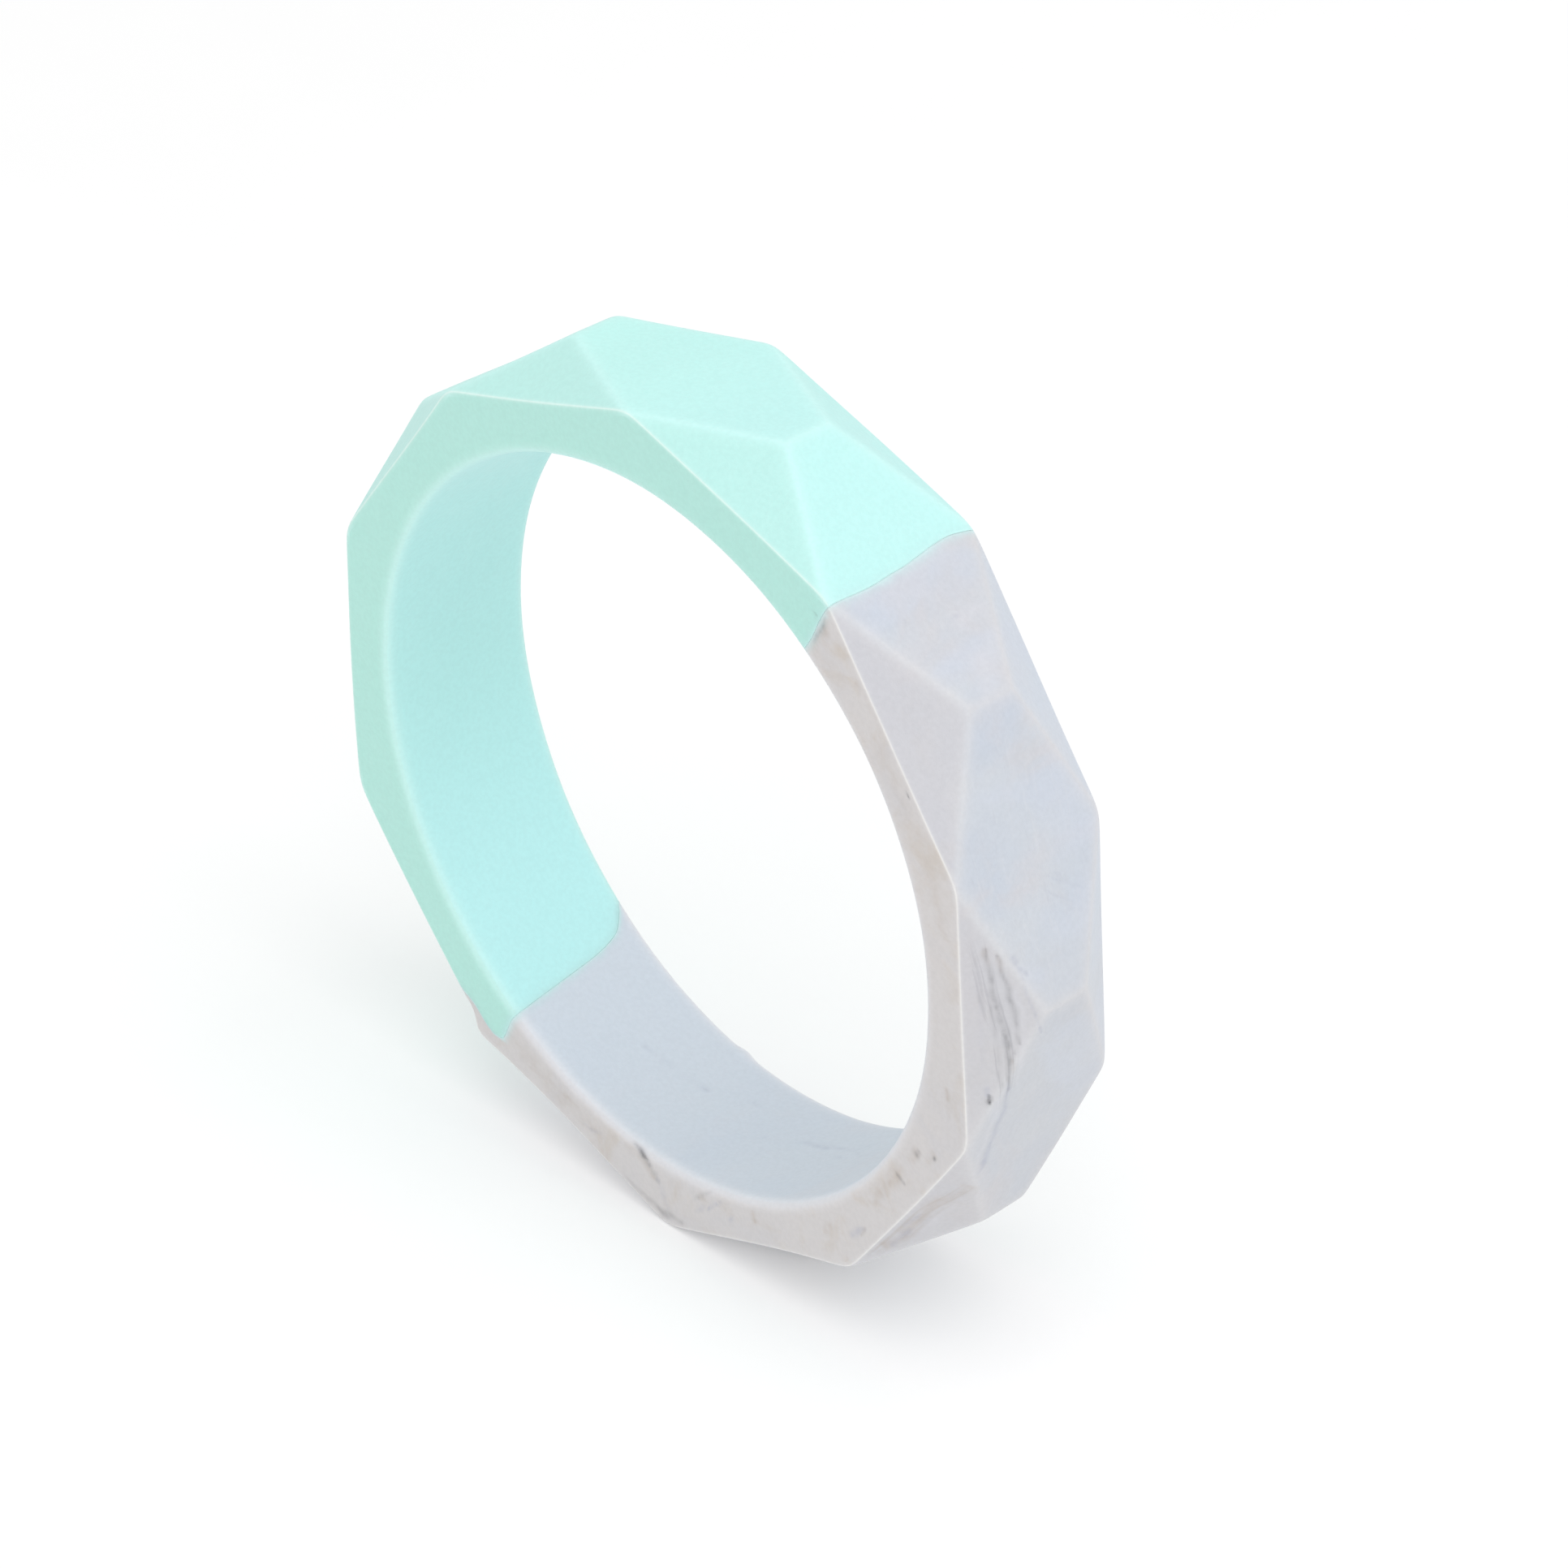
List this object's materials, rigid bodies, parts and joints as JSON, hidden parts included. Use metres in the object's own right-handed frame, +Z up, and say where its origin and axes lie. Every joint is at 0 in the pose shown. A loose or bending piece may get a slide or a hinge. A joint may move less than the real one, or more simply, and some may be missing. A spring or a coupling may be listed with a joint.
{
  "type": "teething ring",
  "caption": "Faceted round silicone teething ring with a smooth open bore, in a plain half bonded to a marbled half.",
  "frame": {"origin": "middle of the flat facet that the ring stands on", "axes": "+Z up; the ring's axis and bore run along Y, with the front rim facing -Y; +X to the right seen from the front"},
  "size_m": [0.082, 0.0152, 0.078],
  "materials": {
    "mint_silicone": "matte moulded silicone, plain pale mint",
    "marbled_silicone": "matte moulded silicone, pale grey marbled with cool white, warm tan and thin dark streaks"
  },
  "bodies": {
    "root": {"mint_half": "mint_silicone", "marble_half": "marbled_silicone"}
  },
  "joints": []
}
